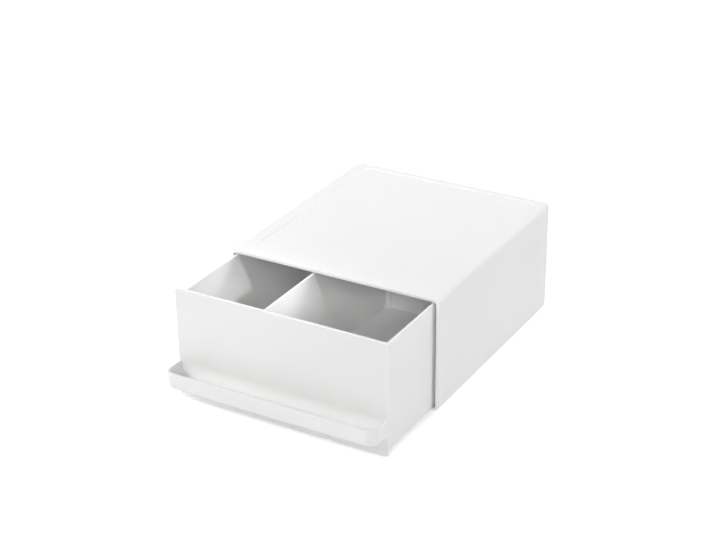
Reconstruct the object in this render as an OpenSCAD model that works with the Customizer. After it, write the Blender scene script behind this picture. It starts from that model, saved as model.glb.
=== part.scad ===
// Stackable drawer box: an open-fronted case on four pads, a pull-out drawer
// whose front carries a gutter-shaped finger pull, and one sliding divider.
// X runs across the front, the drawer pulls out towards -Y and Z is up. The origin
// is on the ground, under the middle of the case. All sizes are in millimetres.

/* [Case] */
// Width of the case, outside
case_w = 180; // [140:1:260]
// Depth of the case, outside
case_d = 198; // [180:1:320]
// Height of the case without its pads
case_h = 93; // [75:1:160]
// Thickness of the case's side walls and back
case_wall = 2; // [1.5:0.1:3]
// Thickness of the case's top, at the rim around the stacking recess
case_top_t = 2.4; // [2.2:0.1:4]
// Thickness of the case's base
case_base_t = 2; // [1.5:0.1:3]
// Rounding of the long outer edges
case_edge_r = 3; // [2:0.5:5]
// Rounding of the corners inside the mouth
case_mouth_r = 1.5; // [0.5:0.5:3]
// Rounding of the two upright back corners, seen from above
case_back_r = 6; // [4:0.5:14]

/* [Stacking recess] */
// Depth of the recess in the top that the pads of the next box stand in
recess_depth = 0.9; // [0.5:0.1:1.2]
// Width of the rim left at each side of the recess
rim_side = 12; // [6:0.5:20]
// Width of the rim left at the front of the recess
rim_front = 5; // [4:0.5:20]
// Width of the rim left at the back of the recess
rim_back = 8; // [4:0.5:20]
// Corner rounding of the recess, seen from above
recess_r = 4; // [2:0.5:8]

/* [Pads] */
// Diameter of a non-slip pad
pad_d = 12; // [8:0.5:16]
// Thickness of a pad
pad_t = 2.1; // [1.8:0.1:3]
// Depth of the round seat that holds the pad under the case
pad_seat = 0.6; // [0.4:0.1:0.9]
// Chamfer around the lower edge of a pad
pad_chamfer = 0.4; // [0.2:0.1:0.6]
// Free space between a pad's rim and its seat
pad_play = 0.1; // [0.05:0.05:0.3]
// Free space between a pad and the rim of the box it is stacked on
stack_play = 0.6; // [0.3:0.1:2]

/* [Drawer tub] */
// Thickness of the tub's four walls
tub_wall = 1.6; // [1.2:0.1:2.5]
// Thickness of the tub's floor
tub_floor_t = 1.8; // [1.2:0.1:3]
// Height of the side-wall runners under the tub's floor
runner_h = 6; // [3:0.5:12]
// Rounding of the tub's upright corners, outside
tub_corner_r = 3; // [2.5:0.5:6]
// Space between the tub and the case at each side
tub_side_gap = 2; // [0.5:0.1:3]
// Space between the tub's runners and the case's base
tub_run_gap = 0.3; // [0.2:0.1:1]
// Space between the tub's rim and the case's top
tub_top_gap = 1.3; // [1.1:0.1:3]
// Space behind the tub when the drawer is shut
tub_back_gap = 10; // [2:0.5:30]

/* [Drawer front] */
// Thickness of the drawer front
front_t = 2.4; // [2:0.1:4]
// Corner rounding of the drawer front, seen from the front
front_r = 3; // [2:0.5:12]
// Height of the front's lower edge above the underside of the case
front_low = 1; // [0.5:0.1:3]
// How far the front's upper edge lies below the top of the case
front_drop = 0; // [0:0.1:3]
// How far each side edge of the front lies inside the side of the case
front_inset = 0; // [0:0.1:1]
// Space between the front and the case when the drawer is shut
shut_gap = 0.6; // [0.3:0.1:2]

/* [Finger pull] */
// How far the gutter stands out from the drawer front
pull_reach = 20.5; // [14:0.5:30]
// Height of the gutter
pull_h = 13.8; // [8:0.1:20]
// Thickness of the gutter's outer wall
pull_wall = 2; // [1.5:0.1:3]
// Thickness of the gutter's floor
pull_floor_t = 1.8; // [1.2:0.1:3]
// Rounding of the gutter's two outer corners, seen from above
pull_r = 8; // [4:0.5:12]
// Rounding of the gutter's lower outer edge
pull_belly_r = 2.5; // [0.5:0.5:3.5]
// Height of the gutter's underside above the lower edge of the front
pull_low = 17.6; // [8:0.1:40]

/* [Front pegs] */
// Diameter of the pegs that join the front to the tub
peg_d = 5; // [3:0.5:8]
// Free space around a peg in its hole
peg_play = 0.1; // [0.05:0.05:0.2]
// How far a peg's end lies short of the inside of the tub
peg_short = 0.1; // [0.1:0.1:0.4]
// Distance of the pegs from the sides of the tub
peg_side = 26.5; // [12:0.5:40]
// Distance of the pegs from the tub's floor and from its rim
peg_edge = 14; // [10:0.5:20]

/* [Divider] */
// Place of the divider, measured from the middle of the tub
divider_x = -16.5; // [-50:0.5:50]
// Thickness of the divider's web
divider_t = 1.8; // [1.2:0.1:3]
// Width of the flange at each end of the divider
flange_w = 9; // [5:0.5:16]
// Thickness of the end flanges
flange_t = 1.6; // [1:0.1:3]
// Height of the web's lower edge above the foot of its flanges
web_gap = 2.6; // [0.5:0.1:4]
// Free space between the divider and the tub's floor
divider_lift = 0.2; // [0.1:0.1:0.5]
// Free space between each flange and the tub's wall
divider_play = 0.25; // [0.1:0.05:0.6]

/* [Movement] */
// How far the drawer is pulled out as modelled
pull_out = 72; // [0:1:110]
// Travel of the drawer from shut to its stops
drawer_travel = 152; // [115:1:160]
// Distance of the stop ribs from the front of the case
stop_inset = 4; // [3:0.5:10]
// Thickness of a stop rib
stop_rib_t = 2; // [1.5:0.1:3]
// Width of a stop rib, from the side wall inwards
stop_rib_w = 6; // [5:0.5:12]
// Length of a stop lug on the tub's rim
stop_lug_l = 12; // [6:0.5:20]
// Free space between a lug and the rib that stops it
stop_play = 0.3; // [0.2:0.1:0.6]
// Free space between the tub's rim and a stop rib
rib_clear = 0.4; // [0.2:0.05:0.5]
// Free space between a stop lug and the case's top
lug_clear = 0.3; // [0.2:0.05:0.5]

/* [Hidden] */
$fn = 96;
// Overshoot of a cutting shape past the face that it opens
cut = 1;

// Case
case_z0 = pad_t - pad_seat;
case_z1 = case_z0 + case_h;
floor_z = case_z0 + case_base_t;
roof_z = case_z1 - case_top_t;
mouth_y = -case_d / 2;
back_y = case_d / 2;
inside_w = case_w - 2 * case_wall;
inside_h = roof_z - floor_z;

// Places of the pads, just inside the rim of an equal box underneath
pad_x = case_w / 2 - rim_side - stack_play - pad_d / 2;
pad_front_y = mouth_y + rim_front + stack_play + pad_d / 2;
pad_back_y = back_y - rim_back - stack_play - pad_d / 2;

// Tub
tub_w = inside_w - 2 * tub_side_gap;
tub_l = case_d - case_wall + shut_gap - tub_back_gap;
tub_y0 = mouth_y - shut_gap - pull_out;
tub_y1 = tub_y0 + tub_l;
tub_z0 = floor_z + tub_run_gap;
tub_z1 = roof_z - tub_top_gap;
tub_floor_z0 = tub_z0 + runner_h;
tub_floor_z1 = tub_floor_z0 + tub_floor_t;
tub_inside_w = tub_w - 2 * tub_wall;

// Stops: ribs under the case's top and lugs on the tub's rim
stop_rib_y0 = mouth_y + stop_inset;
stop_rib_h = tub_top_gap - rib_clear;
stop_lug_y0 = stop_rib_y0 + stop_rib_t + stop_play + drawer_travel - pull_out;
stop_lug_h = tub_top_gap - lug_clear;

// Drawer front and its pegs
front_w = case_w - 2 * front_inset;
front_z0 = case_z0 + front_low;
front_z1 = case_z1 - front_drop;
front_y0 = tub_y0 - front_t;
pull_z0 = front_z0 + pull_low;
pull_z1 = pull_z0 + pull_h;
peg_x = tub_w / 2 - peg_side;
peg_low_z = tub_floor_z1 + peg_edge;
peg_high_z = tub_z1 - peg_edge;
peg_places = [for (x = [-peg_x, peg_x], z = [peg_low_z, peg_high_z]) [x, z]];

// Divider
divider_y0 = tub_y0 + tub_wall + divider_play;
divider_y1 = tub_y1 - tub_wall - divider_play;
divider_z0 = tub_floor_z1 + divider_lift;

// Rectangle from the origin with each of its corners rounded by its own radius:
// low left, low right, high right and high left. A radius of 0 keeps a corner sharp.
module soft_rect(size, radii) {
    corners = [[0, 0], [size.x, 0], [size.x, size.y], [0, size.y]];
    difference() {
        square(size);
        for (i = [0:3]) if (radii[i] > 0) translate(corners[i]) rotate(90 * i) corner_waste(radii[i]);
    }
}

// What a rounding of radius r takes off a corner at the origin
module corner_waste(r) {
    difference() {
        translate([-cut, -cut]) square(r + cut);
        translate([r, r]) circle(r);
    }
}

// The same radius for all four corners of a soft rectangle
function all_round(r) = [r, r, r, r];

// Upright prism of a soft rectangle, centred on X, from y0 to y1 and z0 to z1
module soft_block(w, y0, y1, z0, z1, radii) {
    translate([-w / 2, y0, z0]) linear_extrude(z1 - z0) soft_rect([w, y1 - y0], radii);
}

// Prism along Y of a soft rectangle, centred on X, from y0 to y1 and z0 to z1
module soft_tunnel(w, y0, y1, z0, z1, radii) {
    translate([-w / 2, y1, z0]) rotate([90, 0, 0]) linear_extrude(y1 - y0)
        soft_rect([w, z1 - z0], radii);
}

// Prism along X of a soft rectangle, centred on X, from y0 to y1 and z0 to z1
module soft_loaf(w, y0, y1, z0, z1, radii) {
    translate([-w / 2, 0, 0]) rotate([90, 0, 90]) linear_extrude(w)
        translate([y0, z0]) soft_rect([y1 - y0, z1 - z0], radii);
}

module case_shell() {
    color("white") difference() {
        intersection() {
            soft_tunnel(case_w, mouth_y, back_y, case_z0, case_z1, all_round(case_edge_r));
            soft_block(case_w, mouth_y, back_y, case_z0, case_z1, [0, 0, case_back_r, case_back_r]);
            soft_loaf(case_w, mouth_y, back_y, case_z0, case_z1, [0, case_edge_r, case_edge_r, 0]);
        }
        case_hollow();
        soft_block(case_w - 2 * rim_side, mouth_y + rim_front, back_y - rim_back,
            case_z1 - recess_depth, case_z1 + cut, all_round(recess_r));
        each_pad_place() translate([0, 0, case_z0 - cut])
            cylinder(r = pad_d / 2 + pad_play, h = pad_seat + cut);
    }
}

// The inside of the case, open at the front, around the two stop ribs
module case_hollow() {
    back_r = case_back_r - case_wall;
    difference() {
        intersection() {
            soft_tunnel(inside_w, mouth_y - cut, back_y - case_wall, floor_z, roof_z, all_round(case_mouth_r));
            soft_block(inside_w, mouth_y - cut, back_y - case_wall, floor_z, roof_z, [0, 0, back_r, back_r]);
        }
        for (side = [0, 1]) mirror([side, 0, 0])
            translate([inside_w / 2 - stop_rib_w, stop_rib_y0, roof_z - stop_rib_h])
                cube([stop_rib_w + cut, stop_rib_t, stop_rib_h + cut]);
    }
}

// Puts its children at the four places where a pad sits under the case
module each_pad_place() {
    for (x = [-pad_x, pad_x], y = [pad_front_y, pad_back_y]) translate([x, y, 0]) children();
}

// One round non-slip pad, with its foot on the ground at the origin
module pad() {
    color("gainsboro") rotate_extrude() polygon([
        [0, 0],
        [pad_d / 2 - pad_chamfer, 0],
        [pad_d / 2, pad_chamfer],
        [pad_d / 2, pad_t],
        [0, pad_t]
    ]);
}

module drawer_tub() {
    inner_r = tub_corner_r - tub_wall;
    color("white") {
        difference() {
            soft_block(tub_w, tub_y0, tub_y1, tub_z0, tub_z1, all_round(tub_corner_r));
            soft_block(tub_inside_w, tub_y0 + tub_wall, tub_y1 - tub_wall, tub_floor_z1,
                tub_z1 + cut, all_round(inner_r));
            translate([-tub_inside_w / 2, tub_y0 - cut, tub_z0 - cut])
                cube([tub_inside_w, tub_l + 2 * cut, runner_h + cut]);
            each_peg_place() translate([0, 0, -cut])
                cylinder(r = peg_d / 2 + peg_play, h = tub_wall + 2 * cut);
        }
        for (side = [0, 1]) mirror([side, 0, 0])
            translate([tub_inside_w / 2, stop_lug_y0, tub_z1 - tub_wall])
                cube([tub_wall, stop_lug_l, stop_lug_h + tub_wall]);
    }
}

// Puts its children at the four pegs: z = 0 is the outer face of the tub's
// front wall and +z runs into the tub
module each_peg_place() {
    for (p = peg_places) translate([p.x, tub_y0, p.y]) rotate([-90, 0, 0]) children();
}

module drawer_front() {
    color("white") {
        soft_tunnel(front_w, front_y0, tub_y0, front_z0, front_z1, all_round(front_r));
        each_peg_place() translate([0, 0, -front_t / 2])
            cylinder(r = peg_d / 2, h = front_t / 2 + tub_wall - peg_short);
        finger_pull();
    }
}

// The gutter across the drawer front, open at the top
module finger_pull() {
    y0 = front_y0 - pull_reach;
    inner_r = pull_r - pull_wall;
    difference() {
        intersection() {
            soft_block(front_w, y0, front_y0, pull_z0, pull_z1, [pull_r, pull_r, 0, 0]);
            soft_tunnel(front_w, y0, front_y0, pull_z0, pull_z1, [pull_belly_r, pull_belly_r, 0, 0]);
            soft_loaf(front_w, y0, front_y0, pull_z0, pull_z1, [pull_belly_r, 0, 0, 0]);
        }
        soft_block(front_w - 2 * pull_wall, y0 + pull_wall, front_y0, pull_z0 + pull_floor_t,
            pull_z1 + cut, [inner_r, inner_r, 0, 0]);
    }
}

module divider() {
    color("white") translate([divider_x, 0, 0]) {
        translate([-divider_t / 2, divider_y0, divider_z0 + web_gap])
            cube([divider_t, divider_y1 - divider_y0, tub_z1 - divider_z0 - web_gap]);
        for (y = [divider_y0, divider_y1 - flange_t]) translate([-flange_w / 2, y, divider_z0])
            cube([flange_w, flange_t, tub_z1 - divider_z0]);
    }
}

case_shell();
translate([-pad_x, pad_front_y, 0]) pad();  // pad_front_left
translate([pad_x, pad_front_y, 0]) pad();  // pad_front_right
translate([-pad_x, pad_back_y, 0]) pad();  // pad_back_left
translate([pad_x, pad_back_y, 0]) pad();  // pad_back_right
drawer_tub();
drawer_front();
divider();
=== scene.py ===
"""Stackable drawer box: builds its moulded pieces, their plastics and the stage.

Every length is in metres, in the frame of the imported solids: X runs across the front, the drawer
pulls out towards -Y, and Z is up from the ground under the middle of the case.
"""

import math

import bmesh
import bpy
from bpy.props import FloatProperty, FloatVectorProperty, PointerProperty
from mathutils import Euler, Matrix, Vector


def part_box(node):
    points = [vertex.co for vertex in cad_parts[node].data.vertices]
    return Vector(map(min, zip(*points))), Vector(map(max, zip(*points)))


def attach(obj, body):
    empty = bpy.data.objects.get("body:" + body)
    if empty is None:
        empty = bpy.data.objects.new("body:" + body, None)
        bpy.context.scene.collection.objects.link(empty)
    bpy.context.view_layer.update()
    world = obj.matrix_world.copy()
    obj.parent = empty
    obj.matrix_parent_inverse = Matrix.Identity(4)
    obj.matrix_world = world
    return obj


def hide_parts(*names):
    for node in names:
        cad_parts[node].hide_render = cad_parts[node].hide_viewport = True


bl_info = {
    "name": "Stackable Drawer Box",
    "version": (1, 0, 0),
    "blender": (4, 5, 0),
    "location": "View3D > Sidebar > Drawer Box",
    "description": "Builds a stackable drawer box in satin moulded plastic",
    "category": "Add Mesh",
}

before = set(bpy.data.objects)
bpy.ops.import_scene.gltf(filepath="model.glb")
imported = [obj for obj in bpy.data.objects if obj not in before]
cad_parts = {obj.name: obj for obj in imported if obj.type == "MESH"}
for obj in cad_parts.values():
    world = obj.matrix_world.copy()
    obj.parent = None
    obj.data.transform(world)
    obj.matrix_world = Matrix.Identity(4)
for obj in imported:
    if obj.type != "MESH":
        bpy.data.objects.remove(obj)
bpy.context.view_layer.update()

MM = 0.001
PADS = ("pad_front_left", "pad_front_right", "pad_back_left", "pad_back_right")

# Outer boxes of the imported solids, which every piece is built inside
CASE_LOW, CASE_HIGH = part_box("case_shell")
TUB_LOW, TUB_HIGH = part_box("drawer_tub")
FRONT_LOW, FRONT_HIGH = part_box("drawer_front")
DIVIDER_LOW, DIVIDER_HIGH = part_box("divider")

# Steps in a quarter turn of each kind of rounding
CORNER_STEPS = 10
BACK_CORNER_STEPS = 8
FACE_STEPS = 5
EDGE_STEPS = 4

# Sides of the round pieces
PEG_SIDES = 48
PAD_SIDES = 72

# How far a cutter reaches past the piece, and the smallest rounding and step that are drawn
OVERSHOOT = 1 * MM
LEAST = 0.02 * MM

# Points closer than this are one point
MERGE_DISTANCE = 0.001 * MM

# Edges that bend more than this stay sharp, and large flat faces keep their shading flat
SHARP_ANGLE = math.radians(42)
FLAT_WEIGHT = 80

# Bends between which an outer edge goes from untouched to worn by handling and painted lighter as a
# painted edge highlight
WEAR_AND_HIGHLIGHT_ANGLES = (math.radians(14), math.radians(19))


def length(name, description, default):
    """A length property in metres."""
    return FloatProperty(
        name=name, description=description, default=default, unit="LENGTH", precision=5
    )


def share(name, description, default):
    """A property from nothing to all."""
    return FloatProperty(
        name=name, description=description, default=default, min=0, max=1, subtype="FACTOR"
    )


def tint(name, description, default):
    """A colour property."""
    return FloatVectorProperty(
        name=name, description=description, default=default, size=3, min=0, max=1, subtype="COLOR"
    )


class CaseSizes(bpy.types.PropertyGroup):
    """Walls, roundings and stacking recess of the case"""

    wall: length("Wall", "Thickness of the side walls and the back", 2 * MM)
    top: length("Top", "Thickness of the top at its rim", 2.4 * MM)
    base: length("Base", "Thickness of the base", 2 * MM)
    long_round: length("Long edges", "Rounding of the long outer edges", 3 * MM)
    back_round: length("Back corners", "Rounding of the upright back corners", 6 * MM)
    mouth_round: length("Mouth corners", "Rounding of the corners inside the mouth", 1.5 * MM)
    lip_soft: length("Mouth edge", "Softening of the mouth's outer and inner edge", 0.16 * MM)
    recess_depth: length("Recess depth", "Depth of the stacking recess", 0.9 * MM)
    rim_side: length("Side rim", "Width of the rim at each side of the recess", 12 * MM)
    rim_front: length("Front rim", "Width of the rim in front of the recess", 5 * MM)
    rim_back: length("Back rim", "Width of the rim behind the recess", 8 * MM)
    recess_round: length("Recess corners", "Corner rounding of the recess", 4 * MM)
    recess_soft: length("Recess edge", "Softening of the recess's upper and lower edge", 0.44 * MM)
    seat_depth: length("Pad seats", "Depth of the seats under the case", 0.6 * MM)
    seat_play: length("Seat play", "Free space between a pad and its seat", 0.1 * MM)
    rib_inset: length("Stop rib inset", "Distance of the stop ribs from the mouth", 4 * MM)
    rib_thickness: length("Stop rib thickness", "Thickness of a stop rib", 2 * MM)
    rib_width: length("Stop rib width", "Width of a stop rib from the side wall", 6 * MM)
    rib_height: length("Stop rib height", "How far a stop rib hangs down", 0.9 * MM)
    rib_soft: length("Stop rib edges", "Softening of a stop rib's edges", 0.25 * MM)


class TubSizes(bpy.types.PropertyGroup):
    """Walls, floor, runners and stop lugs of the drawer tub"""

    wall: length("Wall", "Thickness of the walls", 1.6 * MM)
    floor: length("Floor", "Thickness of the floor", 1.8 * MM)
    runner: length("Runners", "Height of the runners under the floor", 6 * MM)
    corner_round: length("Corners", "Rounding of the upright corners", 3 * MM)
    rim_soft: length("Rim", "Softening of the rim", 0.16 * MM)
    floor_fillet: length("Floor fillet", "Fillet between the floor and the walls", 0.9 * MM)
    foot_soft: length("Runner edges", "Softening of the runners' lower edges", 0.4 * MM)
    lug_length: length("Stop lugs", "Length of a stop lug", 12 * MM)
    lug_height: length("Lug height", "How far a stop lug stands above the rim", 1 * MM)
    lug_end: length("Lug end", "Distance of a stop lug from the back of the tub", 15.7 * MM)
    lug_soft: length("Lug edges", "Softening of a stop lug's edges", 0.3 * MM)


class FrontSizes(bpy.types.PropertyGroup):
    """Plate, finger pull and pegs of the drawer front"""

    plate: length("Plate", "Thickness of the front plate", 2.4 * MM)
    corner_round: length("Corners", "Corner rounding of the front plate", 3 * MM)
    face_soft: length("Face edge", "Softening of the plate's outer edge", 0.16 * MM)
    back_soft: length("Back edge", "Softening of the plate's inner edge", 0.16 * MM)
    pull_low: length("Pull height", "Height of the pull above the plate's lower edge", 17.6 * MM)
    pull_height: length("Pull size", "Height of the gutter", 13.8 * MM)
    pull_wall: length("Pull wall", "Thickness of the gutter's wall", 2 * MM)
    pull_floor: length("Pull floor", "Thickness of the gutter's floor", 1.8 * MM)
    pull_round: length("Pull corners", "Rounding of the gutter's outer corners", 8 * MM)
    pull_soft: length("Pull edge", "Softening of the gutter's upper edge", 0.4 * MM)
    pull_belly: length("Pull underside", "Rounding of the gutter's lower edge", 2.5 * MM)
    pull_fillet: length("Pull fillet", "Fillet inside the gutter", 1.2 * MM)
    peg_radius: length("Peg radius", "Radius of the pegs that hold the tub", 2.5 * MM)
    peg_play: length("Peg play", "Free space around a peg in its hole", 0.1 * MM)
    peg_side: length("Peg inset", "Distance of the pegs from the sides of the tub", 26.5 * MM)
    peg_edge: length("Peg height", "Distance of the pegs from the tub's floor and rim", 14 * MM)
    peg_short: length("Peg end", "How far a peg's end lies short of the tub's inside", 0.1 * MM)
    peg_soft: length("Peg edge", "Softening of a peg's end", 0.4 * MM)


class DividerSizes(bpy.types.PropertyGroup):
    """Web and flanges of the divider"""

    web: length("Web", "Thickness of the web", 1.8 * MM)
    flange: length("Flanges", "Thickness of the end flanges", 1.6 * MM)
    web_gap: length("Web gap", "Height of the web's lower edge above the feet", 2.6 * MM)
    edge_soft: length("Edges", "Softening of the edges", 0.16 * MM)
    root_fillet: length("Root fillet", "Fillet between the web and the flanges", 0.8 * MM)


class PadSizes(bpy.types.PropertyGroup):
    """Shape of the non-slip pads"""

    chamfer: length("Chamfer", "Chamfer around the foot", 0.4 * MM)
    edge_soft: length("Edge", "Softening of the chamfer's edges", 0.12 * MM)
    dish_width: length("Dish", "Radius of the shallow dish in the foot", 3.6 * MM)
    dish_depth: length("Dish depth", "Depth of the dish in the foot", 0.25 * MM)


class Finish(bpy.types.PropertyGroup):
    """Colours and surface grain of the plastics"""

    case_colour: tint("Case", "Colour of the case", (0.900, 0.900, 0.895))
    tub_colour: tint("Tub", "Colour of the drawer tub", (0.890, 0.890, 0.885))
    front_colour: tint("Front", "Colour of the drawer front", (0.900, 0.900, 0.895))
    divider_colour: tint("Divider", "Colour of the divider", (0.890, 0.890, 0.885))
    pad_colour: tint("Pads", "Colour of the pads", (0.78, 0.78, 0.77))
    satin: share("Satin", "Roughness of the moulded plastic", 0.46)
    rubber: share("Rubber", "Roughness of the pads", 0.82)
    grain_size: length("Grain size", "Size of the spark-eroded grain", 0.35 * MM)
    grain_height: length("Grain height", "Height of the spark-eroded grain", 0.006 * MM)
    sink_size: length("Sink size", "Size of the slow waves in a moulded wall", 26 * MM)
    sink_height: length("Sink height", "Height of the slow waves in a moulded wall", 0.03 * MM)


class Stage(bpy.types.PropertyGroup):
    """Camera, lamps, floor and background"""

    camera_place: FloatVectorProperty(
        name="Camera", description="Place of the camera", subtype="TRANSLATION", unit="LENGTH",
        default=(0.59358, -1.08011, 0.66627),
    )
    camera_turn: FloatVectorProperty(
        name="Camera turn", description="Rotation of the camera", subtype="EULER",
        default=[math.radians(angle) for angle in (63.618, 0.5695, 29.906)],
    )
    lens: FloatProperty(
        name="Lens", description="Focal length for a 36 mm wide sensor", default=86.33,
        unit="CAMERA",
    )
    floor_size: length("Floor", "Width of the floor", 12.0)
    floor_colour: tint("Floor colour", "Colour of the floor", (0.9, 0.9, 0.9))
    floor_glow: share("Floor glow", "White that the floor adds where it is seen directly", 0.45)
    sky: FloatProperty(
        name="Sky", description="Strength of the even light from all round", default=0.01, min=0
    )


# Outlines and rings

def arc(centre, radius, start, steps):
    """Points of a quarter circle that starts at the angle start and turns to the left."""
    angles = [start + math.pi / 2 * i / steps for i in range(steps + 1)]
    return [(centre[0] + radius * math.cos(a), centre[1] + radius * math.sin(a)) for a in angles]


def outline(low, high, radii):
    """Rectangle from low to high whose corners are rounded by radii, seen with u to the right and v
    up: low left, low right, high right, high left."""
    (u0, v0), (u1, v1) = low, high
    r = [max(radius, LEAST) for radius in radii]
    points = arc((u0 + r[0], v0 + r[0]), r[0], math.pi, CORNER_STEPS)
    points += arc((u1 - r[1], v0 + r[1]), r[1], math.pi * 1.5, CORNER_STEPS)
    points += arc((u1 - r[2], v1 - r[2]), r[2], 0, CORNER_STEPS)
    points += arc((u0 + r[3], v1 - r[3]), r[3], math.pi / 2, CORNER_STEPS)
    return points


def soft_steps(radius, steps=EDGE_STEPS):
    """(inset, rise) pairs up a softened edge, from the side face to the end face."""
    quarter = [math.pi / 2 * i / steps for i in range(steps + 1)]
    return [(radius * (1 - math.cos(a)), radius * math.sin(a)) for a in quarter]


def lower_edge(soft, z, steps=EDGE_STEPS):
    """(inset, height) pairs up a softened lower edge that starts at z."""
    return [(inset, z + soft - rise) for inset, rise in reversed(soft_steps(soft, steps))]


def upper_edge(soft, z, steps=EDGE_STEPS):
    """(inset, height) pairs up a softened upper edge that ends at z."""
    return [(inset, z - soft + rise) for inset, rise in soft_steps(soft, steps)]


def flared_edge(soft, z):
    """(inset, height) pairs up a cutter that widens towards z, to leave a softened rim."""
    flare = [(-inset, height) for inset, height in upper_edge(soft, z)[:-1]]
    return flare + [(-soft, z + LEAST), (-soft, z + OVERSHOOT)]


def level(points, z):
    """A ring at the height z through the points of a plan."""
    return [(u, v, z) for u, v in points]


def standing(points, y):
    """A ring at y through the points of a front view."""
    return [(u, y, v) for u, v in points]


def loft(rings, name):
    """A closed mesh through rings of equally many points, capped at both ends."""
    bm = bmesh.new()
    loops = [[bm.verts.new(point) for point in ring] for ring in rings]
    count = len(rings[0])
    for lower, upper in zip(loops, loops[1:]):
        for i in range(count):
            j = (i + 1) % count
            bm.faces.new((lower[i], lower[j], upper[j], upper[i]))
    bm.faces.new(reversed(loops[0]))
    bm.faces.new(loops[-1])
    bmesh.ops.recalc_face_normals(bm, faces=bm.faces)
    return mesh_object(bm, name)


def mesh_object(bm, name):
    """Links a new object that holds bm's mesh."""
    mesh = bpy.data.meshes.new(name)
    bm.to_mesh(mesh)
    bm.free()
    piece = bpy.data.objects.new(name, mesh)
    bpy.context.scene.collection.objects.link(piece)
    return piece


def upright(low, high, radii, profile, name):
    """Lofts a plan outline up Z: profile is a list of (inset, height)."""
    rings = []
    for inset, z in profile:
        plan = outline(
            (low[0] + inset, low[1] + inset),
            (high[0] - inset, high[1] - inset),
            [r - inset for r in radii],
        )
        rings.append(level(plan, z))
    return loft(rings, name)


def slab(low, high, soft, name):
    """A block from low to high with all its edges softened."""
    profile = lower_edge(soft, low[2]) + upper_edge(soft, high[2])
    return upright(low[:2], high[:2], [soft] * 4, profile, name)


def lathe(centre, profile, sides, name):
    """Turns a profile of (radius, height) about an upright axis through centre."""
    angles = [2 * math.pi * i / sides for i in range(sides)]
    rings = []
    for radius, z in profile:
        circle = [
            (centre[0] + radius * math.cos(a), centre[1] + radius * math.sin(a)) for a in angles
        ]
        rings.append(level(circle, z))
    return loft(rings, name)


def turn_to_y(piece, place):
    """Lays an upright piece built around the origin along +Y and puts its foot at place."""
    piece.data.transform(Euler((-math.pi / 2, 0, 0)).to_matrix().to_4x4())
    for vertex in piece.data.vertices:
        vertex.co += Vector(place)
    return piece


def combine(piece, tools, operation):
    """Joins or cuts each of tools into piece, and takes the tools away."""
    for tool in tools:
        step = piece.modifiers.new("step", "BOOLEAN")
        step.operation = operation
        step.solver = "EXACT"
        step.object = tool
        made = bpy.data.meshes.new_from_object(
            piece.evaluated_get(bpy.context.evaluated_depsgraph_get())
        )
        if not made.polygons:
            raise RuntimeError(f"{piece.name} came out empty after {tool.name}")
        piece.modifiers.clear()
        piece.data = made
        bpy.data.objects.remove(tool)
    return piece


def mark_worn_and_highlit_edges(mesh):
    """Stores how much each point lies on a softened outer edge, where handling wears the surface
    smoother and a lighter colour is painted on as a painted edge highlight.
    """
    bm = bmesh.new()
    bm.from_mesh(mesh)
    layer = bm.verts.layers.float.new("edge_wear_and_highlight")
    low, high = WEAR_AND_HIGHLIGHT_ANGLES
    for vertex in bm.verts:
        bends = [e.calc_face_angle_signed(0) for e in vertex.link_edges if len(e.link_faces) == 2]
        outward = [bend for bend in bends if 0 < bend < SHARP_ANGLE]
        bend = max(outward, default=0)
        vertex[layer] = min(max((bend - low) / (high - low), 0), 1)
    bm.to_mesh(mesh)
    bm.free()


def finish_piece(piece, node, body, material):
    """Shades a finished piece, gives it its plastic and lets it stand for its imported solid."""
    bm = bmesh.new()
    bm.from_mesh(piece.data)
    bmesh.ops.remove_doubles(bm, verts=bm.verts, dist=MERGE_DISTANCE)
    bmesh.ops.dissolve_degenerate(bm, edges=bm.edges, dist=MERGE_DISTANCE)
    bm.to_mesh(piece.data)
    bm.free()
    mark_worn_and_highlit_edges(piece.data)
    piece.data.shade_smooth()
    piece.data.set_sharp_from_angle(angle=SHARP_ANGLE)
    weighted = piece.modifiers.new("flat faces stay flat", "WEIGHTED_NORMAL")
    weighted.keep_sharp = True
    weighted.weight = FLAT_WEIGHT
    piece.data.materials.clear()
    piece.data.materials.append(material)
    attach(piece, body)
    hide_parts(node)


# Materials

# Sockets of a Mix node that is set to colours, where numbers and vectors come first
MIX_AMOUNT, MIX_FIRST, MIX_SECOND = 0, 6, 7
MIX_RESULT = 2

# Sizes of the marks on the moulded plastic
DRIFT_SIZE = 60 * MM
CLOUD_SIZE = 9 * MM
PATCH_SIZE = 2.5 * MM
SCUFF_SIZE = 1.2 * MM
SCUFF_STRETCH = (1, 0.06, 1)

# Where each piece lies in the pattern of these marks, so that no two pieces carry the same ones
CASE_SHIFT = (0.31, 0.07, 0.53)
TUB_SHIFT = (0.77, 0.19, 0.05)
FRONT_SHIFT = (0.11, 0.83, 0.29)
DIVIDER_SHIFT = (0.47, 0.61, 0.91)

# Shades of its colour: where it drifts darker, in its clouds, and where it is lightest or lies on a
# softened edge, whose lighter colour there is a painted edge highlight
DARK_SHADE, CLOUD_SHADE, LIGHT_SHADE = 0.988, 0.994, 1.006
CLOUD_AMOUNT = 0.35
# Painted edge highlight: how far softened edges are painted lighter, and the least share of it and
# of their wear that a patch keeps
EDGE_HIGHLIGHT_AMOUNT = 0.6
LEAST_WEAR_AND_HIGHLIGHT = 0.35

# How far clouds, scuffs and worn edges change its roughness
CLOUD_GLOSS = 0.05
SCUFF_GLOSS = 0.05
RUB_GLOSS = 0.06

# How it reflects and scatters light
PLASTIC_IOR = 1.49
PLASTIC_SPECULAR = 0.45
SCATTER_DEPTH = 0.5 * MM

# Grain and dust of the pads
LEATHER_SIZE = 0.25 * MM
LEATHER_HEIGHT = 0.03 * MM
DUST_SIZE = 1.6 * MM
DUST_SHADES = (0.93, 1.03)
DUST_GLOSS = (-0.06, 0.08)
RUBBER_SPECULAR = 0.3

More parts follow.
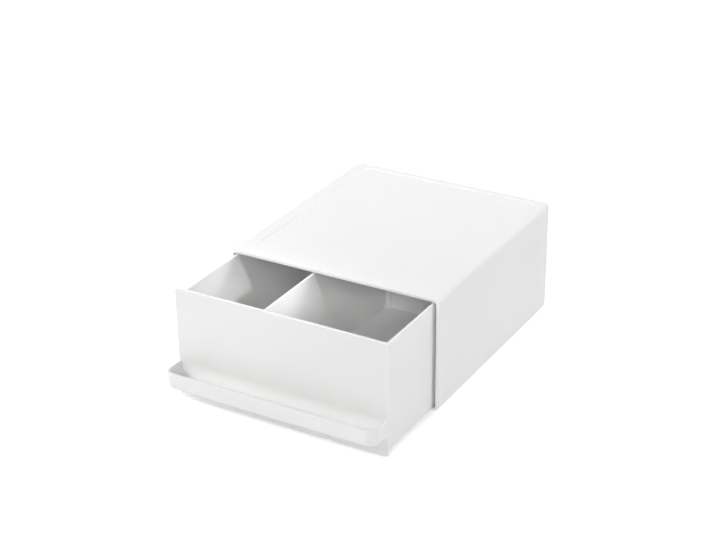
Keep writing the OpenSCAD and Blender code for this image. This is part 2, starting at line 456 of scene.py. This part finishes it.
# Backdrop paper
FIBRE_SIZE = 3 * MM
FIBRE_SHADE = 0.995
PAPER_ROUGHNESS = 0.9
PAPER_SPECULAR = 0.1


def add_node(tree, kind, inputs=(), **settings):
    """Adds a node, sets its fields from settings and its sockets from inputs."""
    node = tree.nodes.new(kind)
    for field, value in settings.items():
        setattr(node, field, value)
    for socket, value in inputs:
        if isinstance(value, bpy.types.NodeSocket):
            tree.links.new(value, node.inputs[socket])
        else:
            node.inputs[socket].default_value = value
    return node


def noise(tree, place, size, detail, roughness=0.5):
    """Noise whose blobs are about size across."""
    node = add_node(
        tree, "ShaderNodeTexNoise",
        [("Vector", place), ("Scale", 1 / size), ("Detail", detail), ("Roughness", roughness)],
    )
    return node.outputs["Fac"]


def span(tree, value, low, high, from_low=0.3, from_high=0.7):
    """Maps a noise value onto low to high."""
    node = add_node(tree, "ShaderNodeMapRange", [
        ("Value", value), ("From Min", from_low), ("From Max", from_high),
        ("To Min", low), ("To Max", high),
    ])
    return node.outputs["Result"]


def maths(tree, operation, first, second):
    """One calculation with two values."""
    node = add_node(tree, "ShaderNodeMath", [(0, first), (1, second)], operation=operation)
    return node.outputs[0]


def blend_colours(tree, amount, first, second):
    """Mixes two colours by amount."""
    node = tree.nodes.new("ShaderNodeMix")
    node.data_type = "RGBA"
    for index, value in ((MIX_AMOUNT, amount), (MIX_FIRST, first), (MIX_SECOND, second)):
        if isinstance(value, bpy.types.NodeSocket):
            tree.links.new(value, node.inputs[index])
        else:
            node.inputs[index].default_value = value
    return node.outputs[MIX_RESULT]


def rgba(colour, shade=1.0):
    """A colour with alpha, made lighter or darker by shade."""
    return (colour[0] * shade, colour[1] * shade, colour[2] * shade, 1)


def new_material(name):
    """An empty node material with its shader: (material, tree, shader, object coordinates)."""
    material = bpy.data.materials.new(name)
    material.use_nodes = True
    tree = material.node_tree
    tree.nodes.clear()
    shader = tree.nodes.new("ShaderNodeBsdfPrincipled")
    output = tree.nodes.new("ShaderNodeOutputMaterial")
    tree.links.new(shader.outputs[0], output.inputs["Surface"])
    place = tree.nodes.new("ShaderNodeTexCoord").outputs["Object"]
    return material, tree, shader, place


def moulded_plastic(name, colour, finish, shift):
    """Satin moulded polypropylene: spark-eroded grain, slow sink waves, a faint drift of tone,
    uneven gloss, fine handling scuffs, and softened edges that handling has worn smoother and that
    are painted lighter as a painted edge highlight. The pattern is moved by shift."""
    material, tree, shader, place = new_material(name)
    moved = add_node(
        tree, "ShaderNodeVectorMath", [(0, place), (1, shift)], operation="ADD"
    ).outputs[0]
    drift = noise(tree, moved, DRIFT_SIZE, detail=3)
    cloud = noise(tree, moved, CLOUD_SIZE, detail=4, roughness=0.6)
    streaks = add_node(
        tree, "ShaderNodeMapping", [("Vector", moved), ("Scale", SCUFF_STRETCH)]
    ).outputs[0]
    scuff = noise(tree, streaks, SCUFF_SIZE, detail=5, roughness=0.65)
    scuff = span(tree, scuff, 0, 1, from_low=0.60, from_high=0.72)
    wear_and_highlight_edges = add_node(tree, "ShaderNodeAttribute", attribute_name="edge_wear_and_highlight").outputs["Fac"]
    patches = noise(tree, moved, PATCH_SIZE, detail=4, roughness=0.7)
    wear_and_highlight_patches = maths(tree, "MULTIPLY", wear_and_highlight_edges, span(tree, patches, LEAST_WEAR_AND_HIGHLIGHT, 1.0))

    dark, light = rgba(colour, DARK_SHADE), rgba(colour, LIGHT_SHADE)
    tone = blend_colours(tree, span(tree, drift, 0, 1), dark, light)
    clouds = span(tree, cloud, 0, CLOUD_AMOUNT)
    tone = blend_colours(tree, clouds, tone, rgba(colour, CLOUD_SHADE))
    # Softened edges painted lighter: a painted edge highlight, not a colour of the plastic
    tone = blend_colours(tree, maths(tree, "MULTIPLY", wear_and_highlight_patches, EDGE_HIGHLIGHT_AMOUNT), tone, light)
    tree.links.new(tone, shader.inputs["Base Color"])

    gloss = span(tree, cloud, finish.satin - CLOUD_GLOSS, finish.satin + CLOUD_GLOSS)
    gloss = maths(tree, "ADD", gloss, maths(tree, "MULTIPLY", scuff, SCUFF_GLOSS))
    gloss = maths(tree, "SUBTRACT", gloss, maths(tree, "MULTIPLY", wear_and_highlight_patches, RUB_GLOSS))
    tree.links.new(gloss, shader.inputs["Roughness"])

    waves = noise(tree, moved, finish.sink_size, detail=1)
    sink = add_node(tree, "ShaderNodeBump", [
        ("Height", waves), ("Distance", finish.sink_height), ("Strength", 1.0),
    ])
    grains = noise(tree, moved, finish.grain_size, detail=3, roughness=0.6)
    grain = add_node(tree, "ShaderNodeBump", [
        ("Height", grains), ("Distance", finish.grain_height), ("Strength", 1.0),
        ("Normal", sink.outputs[0]),
    ])
    tree.links.new(grain.outputs[0], shader.inputs["Normal"])
    shader.inputs["IOR"].default_value = PLASTIC_IOR
    shader.inputs["Specular IOR Level"].default_value = PLASTIC_SPECULAR
    shader.inputs["Subsurface Weight"].default_value = 1.0
    shader.inputs["Subsurface Radius"].default_value = (1.0, 1.0, 1.0)
    shader.inputs["Subsurface Scale"].default_value = SCATTER_DEPTH
    return material


def pad_rubber(name, colour, finish):
    """Matt pale elastomer with a fine leathery grain and dust in its low spots."""
    material, tree, shader, place = new_material(name)
    grain = noise(tree, place, LEATHER_SIZE, detail=4, roughness=0.7)
    dust = noise(tree, place, DUST_SIZE, detail=3)
    low_shade, high_shade = [rgba(colour, shade) for shade in DUST_SHADES]
    tone = blend_colours(tree, span(tree, dust, 0, 1), low_shade, high_shade)
    tree.links.new(tone, shader.inputs["Base Color"])
    gloss = span(tree, dust, *[finish.rubber + change for change in DUST_GLOSS])
    tree.links.new(gloss, shader.inputs["Roughness"])
    bump = add_node(tree, "ShaderNodeBump", [("Height", grain), ("Distance", LEATHER_HEIGHT)])
    tree.links.new(bump.outputs[0], shader.inputs["Normal"])
    shader.inputs["Specular IOR Level"].default_value = RUBBER_SPECULAR
    return material


# Pieces

def case_ring(y, side, base, top, radius):
    """A ring of the case at y, set in from its sides, base and top."""
    low = (CASE_LOW.x + side, CASE_LOW.z + base)
    high = (CASE_HIGH.x - side, CASE_HIGH.z - top)
    return standing(outline(low, high, [radius] * 4), y)


def case_skin(sizes):
    """The case without its recess: rings from the back, round the mouth and into the inside."""
    rings = []
    corner, edge = sizes.back_round, sizes.long_round
    for side, rise in reversed(soft_steps(corner, BACK_CORNER_STEPS)):
        y = CASE_HIGH.y - corner + rise
        climb = max(rise - (corner - edge), 0)
        inset = edge - math.sqrt(max(edge**2 - climb**2, 0))
        rings.append(case_ring(y, side, inset, inset, edge))
    soft = sizes.lip_soft
    for inset, rise in soft_steps(soft):
        rings.append(case_ring(CASE_LOW.y + soft - rise, inset, inset, inset, edge - inset))
    inner = sizes.mouth_round
    for inset, rise in reversed(soft_steps(soft)):
        spread = [wall - inset for wall in (sizes.wall, sizes.base, sizes.top)]
        rings.append(case_ring(CASE_LOW.y + soft - rise, *spread, inner + inset))
    inner_back = CASE_HIGH.y - sizes.wall
    turn = corner - sizes.wall
    for side, rise in soft_steps(turn, BACK_CORNER_STEPS):
        climb = max(rise - (turn - inner), 0)
        inset = inner - math.sqrt(max(inner**2 - climb**2, 0))
        walls = (sizes.wall + side, sizes.base + inset, sizes.top + inset)
        rings.append(case_ring(inner_back - turn + rise, *walls, inner))
    return loft(rings, "case")


def recess_tool(sizes):
    """Cutter for the stacking recess, flared so that both its edges come out softened."""
    soft = sizes.recess_soft
    low = (CASE_LOW.x + sizes.rim_side, CASE_LOW.y + sizes.rim_front)
    high = (CASE_HIGH.x - sizes.rim_side, CASE_HIGH.y - sizes.rim_back)
    floor = CASE_HIGH.z - sizes.recess_depth
    profile = lower_edge(soft, floor) + flared_edge(soft, CASE_HIGH.z)
    return upright(low, high, [sizes.recess_round] * 4, profile, "recess tool")


def seat_tool(node, sizes):
    """Cutter for the round seat of one pad."""
    low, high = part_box(node)
    centre = (low + high) / 2
    radius = (high.x - low.x) / 2 + sizes.seat_play
    roof = CASE_LOW.z + sizes.seat_depth
    profile = [(radius, CASE_LOW.z - OVERSHOOT), (radius, roof)]
    return lathe(centre, profile, PAD_SIDES, "seat tool")


def stop_rib(side, sizes):
    """The stop rib under the top at one side, sunk into the wall and the top."""
    inner = CASE_HIGH.x - sizes.wall
    roof = CASE_HIGH.z - sizes.top
    near = CASE_LOW.y + sizes.rib_inset
    xs = sorted((side * (inner - sizes.rib_width), side * (inner + sizes.wall / 2)))
    low = (xs[0], near, roof - sizes.rib_height)
    high = (xs[1], near + sizes.rib_thickness, roof + sizes.wall / 4)
    return slab(low, high, sizes.rib_soft, "stop rib")


class BuildCase(bpy.types.Operator):
    """Build the case with its stacking recess, pad seats and stop ribs"""

    bl_idname = "drawerbox.build_case"
    bl_label = "Build Case"
    bl_options = {"REGISTER", "UNDO"}

    def execute(self, context):
        sizes, finish = context.scene.drawerbox_case, context.scene.drawerbox_finish
        case = case_skin(sizes)
        combine(case, [stop_rib(side, sizes) for side in (-1, 1)], "UNION")
        combine(case, [recess_tool(sizes)] + [seat_tool(pad, sizes) for pad in PADS], "DIFFERENCE")
        plastic = moulded_plastic("case plastic", finish.case_colour, finish, CASE_SHIFT)
        finish_piece(case, "case_shell", "case", plastic)
        return {"FINISHED"}


# The pad's dish from its middle outwards: (distance past the dish's radius, share of its depth)
DISH_CURVE = (
    (-1.2 * MM, 1), (-0.5 * MM, 0.85), (-0.1 * MM, 0.3), (0.15 * MM, 0.05), (0.4 * MM, 0),
)
# Where the softened chamfer bends, in shares of its softness: along it and away from it
CHAMFER_BEND = (0.6, 0.5)


def pad_profile(sizes, radius, low_z, high_z):
    """(radius, height) pairs of a pad, from the dish in its foot to its seat."""
    foot, soft = radius - sizes.chamfer, sizes.edge_soft
    along, away = CHAMFER_BEND
    dish = [
        (sizes.dish_width + past, low_z + sizes.dish_depth * depth) for past, depth in DISH_CURVE
    ]
    return dish + [
        (foot - soft, low_z),
        (foot + soft * along, low_z + soft * away),
        (radius - soft * away, low_z + sizes.chamfer - soft * along),
        (radius, low_z + sizes.chamfer + soft),
        (radius, high_z),
    ]


class BuildPads(bpy.types.Operator):
    """Build the four non-slip pads under the case"""

    bl_idname = "drawerbox.build_pads"
    bl_label = "Build Pads"
    bl_options = {"REGISTER", "UNDO"}

    def execute(self, context):
        sizes, finish = context.scene.drawerbox_pads, context.scene.drawerbox_finish
        rubber = pad_rubber("pad rubber", finish.pad_colour, finish)
        for node in PADS:
            low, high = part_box(node)
            profile = pad_profile(sizes, (high.x - low.x) / 2, low.z, high.z)
            pad = lathe((low + high) / 2, profile, PAD_SIDES, node.replace("pad", "rubber_pad"))
            finish_piece(pad, node, "case", rubber)
        return {"FINISHED"}


def tub_skin(sizes):
    """The tub as one wall from its foot, over the rim and down to its floor."""
    wall, fillet = sizes.wall, sizes.floor_fillet
    floor_z = TUB_LOW.z + sizes.runner + sizes.floor
    foot = lower_edge(sizes.foot_soft, TUB_LOW.z)
    outer = upper_edge(sizes.rim_soft, TUB_HIGH.z - sizes.lug_height)
    inner = [(wall - inset, z) for inset, z in reversed(outer)]
    floor = [(wall + inset, floor_z + fillet - rise) for inset, rise in soft_steps(fillet)]
    profile = foot + outer + inner + floor
    corners = [sizes.corner_round] * 4
    return upright(TUB_LOW.xy, TUB_HIGH.xy, corners, profile, "drawer_tub_moulding")


def belly_tool(sizes):
    """Cutter for the space between the runners, from front to back under the floor."""
    soft = sizes.foot_soft
    roof = TUB_LOW.z + sizes.runner
    half = TUB_HIGH.x - sizes.wall
    near, far = TUB_LOW.y - OVERSHOOT, TUB_HIGH.y + OVERSHOOT
    profile = [(-soft, TUB_LOW.z - OVERSHOOT), (-soft, TUB_LOW.z - LEAST)]
    profile += [(-inset, z) for inset, z in lower_edge(soft, TUB_LOW.z)[1:]]
    profile += upper_edge(sizes.floor_fillet, roof)
    rings = []
    for inset, z in profile:
        edge = half - inset
        rings.append(level([(-edge, near), (edge, near), (edge, far), (-edge, far)], z))
    return loft(rings, "belly tool")


def stop_lug(side, sizes):
    """The stop lug on the tub's rim at one side, sunk into the wall."""
    xs = sorted((side * TUB_HIGH.x, side * (TUB_HIGH.x - sizes.wall)))
    end = TUB_HIGH.y - sizes.lug_end
    low = (xs[0], end, TUB_HIGH.z - sizes.lug_height - sizes.wall)
    high = (xs[1], end + sizes.lug_length, TUB_HIGH.z)
    return slab(low, high, sizes.lug_soft, "stop lug")


def peg_places(tub, front):
    """(x, z) of the four pegs between the drawer front and the tub."""
    x = TUB_HIGH.x - front.peg_side
    low_z = TUB_LOW.z + tub.runner + tub.floor + front.peg_edge
    high_z = TUB_HIGH.z - tub.lug_height - front.peg_edge
    return [(side * x, z) for side in (-1, 1) for z in (low_z, high_z)]


def peg_hole_tool(place, tub, front):
    """Cutter for one peg hole through the tub's front wall."""
    radius = front.peg_radius + front.peg_play
    profile = [(radius, -OVERSHOOT), (radius, tub.wall + OVERSHOOT)]
    tool = lathe((0, 0), profile, PEG_SIDES, "peg hole tool")
    return turn_to_y(tool, (place[0], TUB_LOW.y, place[1]))


class BuildTub(bpy.types.Operator):
    """Build the drawer tub with its runners, stop lugs and peg holes"""

    bl_idname = "drawerbox.build_tub"
    bl_label = "Build Drawer Tub"
    bl_options = {"REGISTER", "UNDO"}

    def execute(self, context):
        sizes, finish = context.scene.drawerbox_tub, context.scene.drawerbox_finish
        front = context.scene.drawerbox_front
        tub = tub_skin(sizes)
        holes = [peg_hole_tool(place, sizes, front) for place in peg_places(sizes, front)]
        combine(tub, [belly_tool(sizes)] + holes, "DIFFERENCE")
        combine(tub, [stop_lug(side, sizes) for side in (-1, 1)], "UNION")
        plastic = moulded_plastic("tub plastic", finish.tub_colour, finish, TUB_SHIFT)
        finish_piece(tub, "drawer_tub", "drawer", plastic)
        return {"FINISHED"}


def front_plate(sizes):
    """The plate of the drawer front, with both its edges softened."""
    profile = lower_edge(sizes.face_soft, TUB_LOW.y - sizes.plate, FACE_STEPS)
    profile += upper_edge(sizes.back_soft, TUB_LOW.y)
    rings = []
    for inset, y in profile:
        section = outline(
            (FRONT_LOW.x + inset, FRONT_LOW.z + inset),
            (FRONT_HIGH.x - inset, FRONT_HIGH.z - inset),
            [sizes.corner_round - inset] * 4,
        )
        rings.append(standing(section, y))
    return loft(rings, "drawer_front_moulding")


def pull_block(sizes):
    """The gutter's outer form, sunk into the plate."""
    root = TUB_LOW.y - sizes.plate / 2
    low_z = FRONT_LOW.z + sizes.pull_low
    high_z = low_z + sizes.pull_height
    profile = lower_edge(sizes.pull_belly, low_z) + upper_edge(sizes.pull_soft, high_z)
    rings = []
    for inset, z in profile:
        plan = outline(
            (FRONT_LOW.x + inset, FRONT_LOW.y + inset),
            (FRONT_HIGH.x - inset, root),
            [sizes.pull_round - inset, sizes.pull_round - inset, 0, 0],
        )
        rings.append(level(plan, z))
    return loft(rings, "pull block")


def pull_tool(sizes):
    """Cutter for the inside of the gutter, with a fillet at its floor and a flared upper edge."""
    face_y = TUB_LOW.y - sizes.plate
    floor = FRONT_LOW.z + sizes.pull_low + sizes.pull_floor
    high_z = FRONT_LOW.z + sizes.pull_low + sizes.pull_height
    wall = sizes.pull_wall
    inner = sizes.pull_round - wall
    profile = lower_edge(sizes.pull_fillet, floor) + flared_edge(sizes.pull_soft, high_z)
    rings = []
    for inset, z in profile:
        plan = outline(
            (FRONT_LOW.x + wall + inset, FRONT_LOW.y + wall + inset),
            (FRONT_HIGH.x - wall - inset, face_y - max(inset, 0)),
            [inner - inset, inner - inset, 0, 0],
        )
        rings.append(level(plan, z))
    return loft(rings, "pull tool")


def peg(place, tub, front):
    """One peg, from inside the plate to just short of the inside of the tub."""
    end = tub.wall - front.peg_short
    profile = [(front.peg_radius, -front.plate / 2)]
    profile += [(front.peg_radius - inset, z) for inset, z in upper_edge(front.peg_soft, end)]
    pin = lathe((0, 0), profile, PEG_SIDES, "peg")
    return turn_to_y(pin, (place[0], TUB_LOW.y, place[1]))


class BuildFront(bpy.types.Operator):
    """Build the drawer front with its gutter-shaped finger pull and its pegs"""

    bl_idname = "drawerbox.build_front"
    bl_label = "Build Drawer Front"
    bl_options = {"REGISTER", "UNDO"}

    def execute(self, context):
        sizes, finish = context.scene.drawerbox_front, context.scene.drawerbox_finish
        tub = context.scene.drawerbox_tub
        front = front_plate(sizes)
        combine(front, [pull_block(sizes)], "UNION")
        combine(front, [pull_tool(sizes)], "DIFFERENCE")
        combine(front, [peg(place, tub, sizes) for place in peg_places(tub, sizes)], "UNION")
        plastic = moulded_plastic("front plastic", finish.front_colour, finish, FRONT_SHIFT)
        finish_piece(front, "drawer_front", "drawer", plastic)
        return {"FINISHED"}


def divider_plan(sizes, inset):
    """Outline of the divider seen from above: a web with a flange at each end."""
    web = sizes.web / 2 - inset
    flange = (DIVIDER_HIGH.x - DIVIDER_LOW.x) / 2 - inset
    middle = (DIVIDER_HIGH.x + DIVIDER_LOW.x) / 2
    front, back = DIVIDER_LOW.y + inset, DIVIDER_HIGH.y - inset
    front_root = DIVIDER_LOW.y + sizes.flange - inset
    back_root = DIVIDER_HIGH.y - sizes.flange + inset
    soft = max(sizes.edge_soft - inset, LEAST)
    root = sizes.root_fillet + inset
    corners = [
        ((-flange, front), soft), ((flange, front), soft), ((flange, front_root), soft),
        ((web, front_root), -root), ((web, back_root), -root), ((flange, back_root), soft),
        ((flange, back), soft), ((-flange, back), soft), ((-flange, back_root), soft),
        ((-web, back_root), -root), ((-web, front_root), -root), ((-flange, front_root), soft),
    ]
    return [(middle + u, v) for u, v in rounded_path(corners)]


def rounded_path(corners):
    """Points of a closed path with square corners, each rounded by its radius. A radius below zero
    rounds an inside corner."""
    points = []
    for i, (corner, radius) in enumerate(corners):
        here = Vector(corner)
        before = (Vector(corners[i - 1][0]) - here).normalized()
        after = (Vector(corners[(i + 1) % len(corners)][0]) - here).normalized()
        size = abs(radius)
        centre = here + (before + after) * size
        for k in range(EDGE_STEPS + 1):
            turn = math.pi / 2 * k / EDGE_STEPS
            out = after * size * math.cos(turn)
            points.append(centre - out - before * size * math.sin(turn))
    return [(point.x, point.y) for point in points]


def divider_skin(sizes):
    """The divider from its feet to its upper edge."""
    soft = sizes.edge_soft
    profile = lower_edge(soft, DIVIDER_LOW.z) + upper_edge(soft, DIVIDER_HIGH.z)
    rings = [level(divider_plan(sizes, inset), z) for inset, z in profile]
    return loft(rings, "divider_moulding")


def web_gap_tool(sizes):
    """Cutter for the gap under the divider's web, between its two feet."""
    reach = sizes.flange + sizes.root_fillet
    low = (DIVIDER_LOW.x - OVERSHOOT, DIVIDER_LOW.y + reach, DIVIDER_LOW.z - OVERSHOOT)
    high = (DIVIDER_HIGH.x + OVERSHOOT, DIVIDER_HIGH.y - reach, DIVIDER_LOW.z + sizes.web_gap)
    return slab(low, high, sizes.edge_soft, "web gap tool")


class BuildDivider(bpy.types.Operator):
    """Build the divider that slides across the drawer"""

    bl_idname = "drawerbox.build_divider"
    bl_label = "Build Divider"
    bl_options = {"REGISTER", "UNDO"}

    def execute(self, context):
        sizes, finish = context.scene.drawerbox_divider, context.scene.drawerbox_finish
        divider = divider_skin(sizes)
        combine(divider, [web_gap_tool(sizes)], "DIFFERENCE")
        plastic = moulded_plastic("divider plastic", finish.divider_colour, finish, DIVIDER_SHIFT)
        finish_piece(divider, "divider", "partition", plastic)
        return {"FINISHED"}


# Stage

SENSOR_WIDTH = 36
CAMERA_REACH = (0.05, 50)
FLOOR_CELLS = 8
WHITE = (1, 1, 1, 1)

# The point of the box that the far lamps and the softboxes face
BOX_MIDDLE = (0, -0.05, 0.05)

# Bearings are counted from +X and turn to the left, so the front is at 270
FAR_LAMPS = (
    # name, bearing and height in degrees, strength
    ("key light", 299, 30, 1.09),
    ("front left light", 240, 40, 1.13),
    ("back right light", 30, 20, 1.04),
)
FAR_LAMP_WIDTH = math.radians(25)
SOFTBOXES = (
    # name, place, aim, width, watts
    ("back softbox", (0, 0.55, 1.09), BOX_MIDDLE, 0.8, 6.0),
    ("left softbox", (-0.383, -0.189, 0.24), BOX_MIDDLE, 0.3, 0.62),
)
SNOOTS = (
    # name, aim, bearing and height in degrees, distance, half width and half height of the beam,
    # radius of the lamp, watts
    ("left wall snoot", (-0.084, -0.122, 0.065), 345, 28, 0.8, (0.04, 0.04), 0.04, 18.8),
    ("divider snoot", (-0.0156, -0.112, 0.057), 345, 32, 0.8, (0.04, 0.04), 0.04, 6.5),
    ("mouth snoot", (0, -0.136, 0.0945), 292, 31, 0.5, (0.066, 0.009), 0.012, 4.0),
)


def hang_lamp(name, kind, place, aim):
    """A new lamp of the given kind at place that faces aim: its light data."""
    light = bpy.data.lights.new(name, kind)
    lamp = bpy.data.objects.new(name, light)
    lamp.location = place
    lamp.rotation_euler = (Vector(aim) - Vector(place)).to_track_quat("-Z", "Y").to_euler()
    bpy.context.scene.collection.objects.link(lamp)
    return light


def from_bearing(aim, bearing, height, distance):
    """The place at a distance from aim, at a bearing and a height in degrees."""
    turn, rise = math.radians(bearing), math.radians(height)
    way = Vector((math.cos(turn) * math.cos(rise), math.sin(turn) * math.cos(rise), math.sin(rise)))
    return Vector(aim) + distance * way


def add_far_lamp(name, bearing, height, strength):
    """A wide soft light from so far away that it lights the whole box evenly."""
    light = hang_lamp(name, "SUN", from_bearing(BOX_MIDDLE, bearing, height, 1), BOX_MIDDLE)
    light.energy = strength
    light.angle = FAR_LAMP_WIDTH


def add_softbox(name, place, aim, width, watts):
    """A square softbox that faces aim."""
    light = hang_lamp(name, "AREA", place, aim)
    light.shape = "SQUARE"
    light.size = width
    light.energy = watts


def add_snoot(name, aim, bearing, height, distance, beam, radius, watts):
    """A narrow oval beam that slips over the rims into the drawer."""
    light = hang_lamp(name, "SPOT", from_bearing(aim, bearing, height, distance), aim)
    light.energy = watts
    light.spot_size = 2 * math.atan(beam[0] / distance)
    light.spot_blend = 1.0
    light.shadow_soft_size = radius
    bpy.data.objects[name].scale.y = beam[1] / beam[0]


def add_camera(stage):
    """The camera, with no shift and no depth of field."""
    data = bpy.data.cameras.new("camera")
    data.sensor_width = SENSOR_WIDTH
    data.lens = stage.lens
    data.clip_start, data.clip_end = CAMERA_REACH
    camera = bpy.data.objects.new("camera", data)
    camera.location = stage.camera_place
    camera.rotation_euler = stage.camera_turn
    bpy.context.scene.collection.objects.link(camera)
    bpy.context.scene.camera = camera


def seen_directly(tree):
    """One for rays from the camera, off gloss and through clear things, zero for diffuse light."""
    path = tree.nodes.new("ShaderNodeLightPath")
    gloss = maths(tree, "MAXIMUM", path.outputs["Is Camera Ray"], path.outputs["Is Glossy Ray"])
    return maths(tree, "MAXIMUM", gloss, path.outputs["Is Transmission Ray"])


def light_world(stage):
    """An even sky that looks white and lights the box at its own strength."""
    world = bpy.data.worlds.new("studio")
    world.use_nodes = True
    tree = world.node_tree
    tree.nodes.clear()
    strength = add_node(tree, "ShaderNodeMapRange", [
        ("Value", seen_directly(tree)), ("To Min", stage.sky), ("To Max", 1.0)
    ]).outputs[0]
    sky = add_node(tree, "ShaderNodeBackground", [("Color", WHITE), ("Strength", strength)])
    output = tree.nodes.new("ShaderNodeOutputWorld")
    tree.links.new(sky.outputs[0], output.inputs["Surface"])
    bpy.context.scene.world = world


def floor_material(stage):
    """Pale paper that looks almost white and still takes the shadow of the box."""
    material, tree, shader, place = new_material("backdrop paper")
    fibre = span(tree, noise(tree, place, FIBRE_SIZE, detail=4, roughness=0.6), 0, 1)
    colour = stage.floor_colour
    tone = blend_colours(tree, fibre, rgba(colour, FIBRE_SHADE), rgba(colour))
    tree.links.new(tone, shader.inputs["Base Color"])
    shader.inputs["Roughness"].default_value = PAPER_ROUGHNESS
    shader.inputs["Specular IOR Level"].default_value = PAPER_SPECULAR
    shader.inputs["Emission Color"].default_value = WHITE
    glow = maths(tree, "MULTIPLY", seen_directly(tree), stage.floor_glow)
    tree.links.new(glow, shader.inputs["Emission Strength"])
    return material


def lay_floor(stage):
    """The wide paper floor that the box stands on."""
    bm = bmesh.new()
    bmesh.ops.create_grid(
        bm, x_segments=FLOOR_CELLS, y_segments=FLOOR_CELLS, size=stage.floor_size / 2
    )
    floor = mesh_object(bm, "floor")
    floor.data.materials.append(floor_material(stage))


class BuildStage(bpy.types.Operator):
    """Set up the camera, the soft light and the pale floor"""

    bl_idname = "drawerbox.build_stage"
    bl_label = "Build Stage"
    bl_options = {"REGISTER", "UNDO"}

    def execute(self, context):
        stage = context.scene.drawerbox_stage
        add_camera(stage)
        for lamp in FAR_LAMPS:
            add_far_lamp(*lamp)
        for softbox in SOFTBOXES:
            add_softbox(*softbox)
        for snoot in SNOOTS:
            add_snoot(*snoot)
        light_world(stage)
        lay_floor(stage)
        context.scene.view_settings.view_transform = "Standard"
        return {"FINISHED"}


class DrawerBoxPanel(bpy.types.Panel):
    """Steps that build the drawer box"""

    bl_idname = "DRAWERBOX_PT_steps"
    bl_label = "Drawer Box"
    bl_space_type = "VIEW_3D"
    bl_region_type = "UI"
    bl_category = "Drawer Box"

    def draw(self, context):
        for step in STEPS:
            self.layout.operator(step.bl_idname)
        for name in SETTINGS:
            group = getattr(context.scene, name)
            column = self.layout.column(heading=group.bl_rna.description)
            for field in group.__annotations__:
                column.prop(group, field)


STEPS = (BuildStage, BuildCase, BuildPads, BuildTub, BuildFront, BuildDivider)
SETTINGS = {
    "drawerbox_case": CaseSizes,
    "drawerbox_tub": TubSizes,
    "drawerbox_front": FrontSizes,
    "drawerbox_divider": DividerSizes,
    "drawerbox_pads": PadSizes,
    "drawerbox_finish": Finish,
    "drawerbox_stage": Stage,
}


def register():
    """Registers the classes and puts the settings on the scene."""
    for group in SETTINGS.values():
        bpy.utils.register_class(group)
    for name, group in SETTINGS.items():
        setattr(bpy.types.Scene, name, PointerProperty(type=group))
    for step in STEPS:
        bpy.utils.register_class(step)
    bpy.utils.register_class(DrawerBoxPanel)


def unregister():
    """Takes back what register() did."""
    bpy.utils.unregister_class(DrawerBoxPanel)
    for step in reversed(STEPS):
        bpy.utils.unregister_class(step)
    for name in SETTINGS:
        delattr(bpy.types.Scene, name)
    for group in reversed(list(SETTINGS.values())):
        bpy.utils.unregister_class(group)


def main():
    """Builds the whole scene."""
    register()
    bpy.ops.drawerbox.build_stage()
    bpy.ops.drawerbox.build_case()
    bpy.ops.drawerbox.build_pads()
    bpy.ops.drawerbox.build_tub()
    bpy.ops.drawerbox.build_front()
    bpy.ops.drawerbox.build_divider()


if __name__ == "__main__":
    main()
